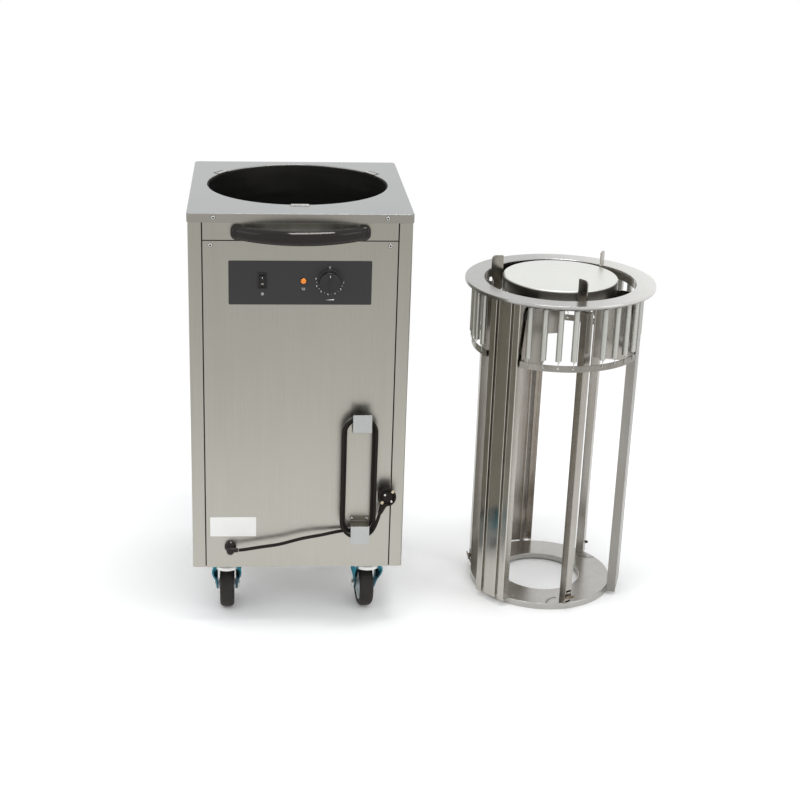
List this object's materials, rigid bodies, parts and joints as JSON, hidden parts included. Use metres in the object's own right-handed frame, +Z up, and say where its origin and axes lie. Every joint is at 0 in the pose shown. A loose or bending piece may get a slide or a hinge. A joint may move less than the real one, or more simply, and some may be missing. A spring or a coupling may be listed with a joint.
{
  "type": "heated plate dispenser cabinet",
  "caption": "Square steel plate warmer on castors with a round heated well, and beside it the round sprung insert that hangs in the well and lifts the plates.",
  "frame": {"origin": "middle of the footprint on the floor", "axes": "+X to the right from the cabinet to the insert, +Y from the front to the back, +Z up"},
  "size_m": [0.994, 0.547, 0.9084],
  "materials": {
    "cabinet_steel": "vertical grain, satin",
    "liner_steel": "dull, darkened by the well",
    "insert_steel": "semi-polished with warm reflections",
    "platform_steel": "finely spun, pale",
    "bright_steel": "bright zinc or nickel",
    "zinc_steel": "bright zinc",
    "spring_steel": "bright wire",
    "heater_steel": "oxidised heating tube",
    "zinc_blue": "blue-green passivated, glossy",
    "gloss_black": "gloss",
    "black_plastic": "satin",
    "control_face": "satin film on the control plate",
    "amber_lens": "translucent amber",
    "label_white": "white film, left blank",
    "cord_rubber": "satin",
    "tyre_grey": "dull dark grey",
    "hub_plastic": "pale grey nylon"
  },
  "bodies": {
    "cabinet": {"top_plate": "cabinet_steel", "side_panel_left": "cabinet_steel", "side_panel_right": "cabinet_steel", "back_panel": "cabinet_steel", "fascia_strip": "cabinet_steel", "service_panel": "cabinet_steel", "base_tray": "cabinet_steel", "well_liner": "liner_steel", "liner_floor": "liner_steel", "liner_straps": "liner_steel", "heater_element": "heater_steel", "thermostat_body": "black_plastic", "handle": "gloss_black", "handle_screws": "bright_steel", "control_plate": "control_face", "switch_housing": "black_plastic", "pilot_lamp": "amber_lens", "rating_label": "label_white", "cable_gland": "gloss_black", "cord_lead": "cord_rubber", "cord_wrap": "cord_rubber", "cord_plug": "cord_rubber", "cord_hook_upper": "bright_steel", "cord_hook_lower": "bright_steel", "hook_screws": "bright_steel", "panel_screws": "bright_steel", "skirt_screws": "bright_steel", "castor_plates": "zinc_steel"},
    "rocker": {"power_rocker": "gloss_black"},
    "knob": {"thermostat_knob": "black_plastic"},
    "castor_fl": {"castor_fork_fl": "zinc_blue"},
    "wheel_fl": {"castor_tyre_fl": "tyre_grey", "castor_hub_fl": "hub_plastic"},
    "castor_fr": {"castor_fork_fr": "zinc_blue"},
    "wheel_fr": {"castor_tyre_fr": "tyre_grey", "castor_hub_fr": "hub_plastic"},
    "castor_rl": {"castor_fork_rl": "zinc_blue"},
    "wheel_rl": {"castor_tyre_rl": "tyre_grey", "castor_hub_rl": "hub_plastic"},
    "castor_rr": {"castor_fork_rr": "zinc_blue"},
    "wheel_rr": {"castor_tyre_rr": "tyre_grey", "castor_hub_rr": "hub_plastic"},
    "insert": {"top_ring": "insert_steel", "base_ring": "insert_steel", "upright_left": "insert_steel", "upright_right": "insert_steel", "upright_rear": "insert_steel", "springs_front": "spring_steel", "springs_rear": "spring_steel", "springs_left": "spring_steel"},
    "carriage": {"carriage_platform": "platform_steel", "carriage_legs": "insert_steel", "carriage_bands": "insert_steel", "carriage_sliders": "black_plastic"},
    "guide_front": {"plate_guide_front": "insert_steel"},
    "wing_front": {"wing_screw_front": "spring_steel"},
    "guide_rear": {"plate_guide_rear": "insert_steel"},
    "wing_rear": {"wing_screw_rear": "spring_steel"},
    "guide_left": {"plate_guide_left": "insert_steel"},
    "wing_left": {"wing_screw_left": "spring_steel"}
  },
  "joints": [
    {"name": "rocker_tilt", "type": "hinge", "parent": "cabinet", "child": "rocker", "pos_m": [-0.3475, -0.2128, 0.77], "axis": [1, 0, 0], "range_deg": [0, 17]},
    {"name": "knob_turn", "type": "hinge", "parent": "cabinet", "child": "knob", "pos_m": [-0.213, -0.2135, 0.77], "axis": [0, 1, 0], "range_deg": [0, 280]},
    {"name": "castor_fl_swivel", "type": "hinge", "parent": "cabinet", "child": "castor_fl", "pos_m": [-0.4243, -0.1605, 0.119], "axis": [0, 0, 1], "continuous": true},
    {"name": "wheel_fl_roll", "type": "hinge", "parent": "castor_fl", "child": "wheel_fl", "pos_m": [-0.4243, -0.1255, 0.05], "axis": [1, 0, 0], "continuous": true},
    {"name": "castor_fr_swivel", "type": "hinge", "parent": "cabinet", "child": "castor_fr", "pos_m": [-0.1197, -0.1605, 0.119], "axis": [0, 0, 1], "continuous": true},
    {"name": "wheel_fr_roll", "type": "hinge", "parent": "castor_fr", "child": "wheel_fr", "pos_m": [-0.12336, -0.12569, 0.05], "axis": [0.9945, 0.1045, 0], "continuous": true},
    {"name": "castor_rl_swivel", "type": "hinge", "parent": "cabinet", "child": "castor_rl", "pos_m": [-0.4243, 0.2185, 0.119], "axis": [0, 0, 1], "continuous": true},
    {"name": "wheel_rl_roll", "type": "hinge", "parent": "castor_rl", "child": "wheel_rl", "pos_m": [-0.4243, 0.1835, 0.05], "axis": [-1, 0, 0], "continuous": true},
    {"name": "castor_rr_swivel", "type": "hinge", "parent": "cabinet", "child": "castor_rr", "pos_m": [-0.1197, 0.2185, 0.119], "axis": [0, 0, 1], "continuous": true},
    {"name": "wheel_rr_roll", "type": "hinge", "parent": "castor_rr", "child": "wheel_rr", "pos_m": [-0.1197, 0.1835, 0.05], "axis": [-1, 0, 0], "continuous": true},
    {"name": "insert_lift", "type": "slide", "parent": "cabinet", "child": "insert", "axis": [0, 0, 1], "range_m": [0, 0.95]},
    {"name": "carriage_drop", "type": "slide", "parent": "insert", "child": "carriage", "axis": [0, 0, -1], "range_m": [0, 0.42], "stiffness_N_per_m": 500, "springref_m": -0.12, "deforming": ["springs_front", "springs_rear", "springs_left"]},
    {"name": "guide_front_swing", "type": "hinge", "parent": "insert", "child": "guide_front", "pos_m": [0.32191, -0.15572, 0.0168], "axis": [0, 0, 1], "range_deg": [-20, 38]},
    {"name": "wing_front_turn", "type": "hinge", "parent": "guide_front", "child": "wing_front", "pos_m": [0.32763, -0.16452, 0.032], "axis": [0.5446, -0.8387, 0], "range_deg": [-180, 180]},
    {"name": "guide_rear_swing", "type": "hinge", "parent": "insert", "child": "guide_rear", "pos_m": [0.40734, 0.09239, 0.0168], "axis": [0, 0, 1], "range_deg": [-20, 38]},
    {"name": "wing_rear_turn", "type": "hinge", "parent": "guide_rear", "child": "wing_rear", "pos_m": [0.4121, 0.10175, 0.032], "axis": [0.454, 0.891, 0], "range_deg": [-180, 180]},
    {"name": "guide_left_swing", "type": "hinge", "parent": "insert", "child": "guide_left", "pos_m": [0.14975, 0.04232, 0.0168], "axis": [0, 0, 1], "range_deg": [-20, 38]},
    {"name": "wing_left_turn", "type": "hinge", "parent": "guide_left", "child": "wing_left", "pos_m": [0.13927, 0.04177, 0.032], "axis": [-0.9986, -0.0523, 0], "range_deg": [-180, 180]}
  ]
}
